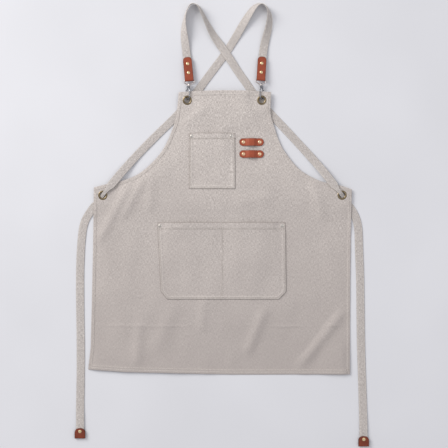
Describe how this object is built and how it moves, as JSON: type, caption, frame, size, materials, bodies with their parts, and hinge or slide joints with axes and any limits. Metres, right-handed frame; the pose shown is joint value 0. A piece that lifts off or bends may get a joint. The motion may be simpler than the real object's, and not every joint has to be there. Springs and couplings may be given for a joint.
{
  "type": "artist apron",
  "caption": "Canvas bib apron laid flat, with pockets, leather tool loops and cross-back straps clipped on by swivel snap hooks.",
  "frame": {"origin": "centre of the laid-out apron in plan, on the surface it lies on", "axes": "+Z out of the apron's front, +Y from the hem to the bib and strap loops, +X to the right seen from the front"},
  "size_m": [0.7638, 1.1507, 0.0224],
  "materials": {
    "canvas": "plain weave cotton canvas, matt",
    "strap_canvas": "folded cotton canvas strap, edge stitched",
    "leather": "vegetable tanned, burnished edges",
    "rivet_brass": "polished",
    "rivet_copper": "polished copper",
    "rivet_nickel": "satin nickel",
    "eyelet_brass": "antique, darkened",
    "hook_steel": "gunmetal, polished",
    "spring_steel": "plain"
  },
  "bodies": {
    "apron": {"bib_eyelet_left": "eyelet_brass", "bib_eyelet_right": "eyelet_brass", "bib_washer_left": "eyelet_brass", "bib_washer_right": "eyelet_brass", "chest_pocket": "canvas", "front_panel": "canvas", "large_pocket": "canvas", "left_snap_eye": "hook_steel", "left_strap": "strap_canvas", "left_tab": "leather", "left_tie_tip": "leather", "loop_rivet_backs": "rivet_copper", "loop_rivet_caps": "rivet_copper", "lower_tool_loop": "leather", "pocket_rivet_backs": "rivet_nickel", "pocket_rivet_caps": "rivet_nickel", "right_snap_eye": "hook_steel", "right_strap": "strap_canvas", "right_tab": "leather", "right_tie_tip": "leather", "tab_rivet_backs": "rivet_brass", "tab_rivet_caps": "rivet_brass", "tip_rivet_backs": "rivet_brass", "tip_rivet_caps": "rivet_brass", "upper_tool_loop": "leather", "waist_eyelet_left": "eyelet_brass", "waist_eyelet_right": "eyelet_brass", "waist_washer_left": "eyelet_brass", "waist_washer_right": "eyelet_brass"},
    "hook_left": {"left_hook": "hook_steel", "left_spring": "spring_steel"},
    "bolt_left": {"left_bolt": "hook_steel"},
    "hook_right": {"right_hook": "hook_steel", "right_spring": "spring_steel"},
    "bolt_right": {"right_bolt": "hook_steel"}
  },
  "joints": [
    {"name": "left_swivel", "type": "hinge", "parent": "apron", "child": "hook_left", "pos_m": [-0.0882, 0.3252, 0.009], "axis": [0.0762, 0.9971, 0], "range_deg": [-88, 5]},
    {"name": "right_swivel", "type": "hinge", "parent": "apron", "child": "hook_right", "pos_m": [0.1031, 0.3264, 0.009], "axis": [-0.0382, 0.9993, 0], "range_deg": [-5, 88]},
    {"name": "left_bolt_slide", "type": "slide", "parent": "hook_left", "child": "bolt_left", "axis": [0.0762, 0.9971, 0], "range_m": [0, 0.0045], "stiffness_N_per_m": 150, "springref_m": -0.003},
    {"name": "right_bolt_slide", "type": "slide", "parent": "hook_right", "child": "bolt_right", "axis": [-0.0382, 0.9993, 0], "range_m": [0, 0.0045], "stiffness_N_per_m": 150, "springref_m": -0.003}
  ]
}
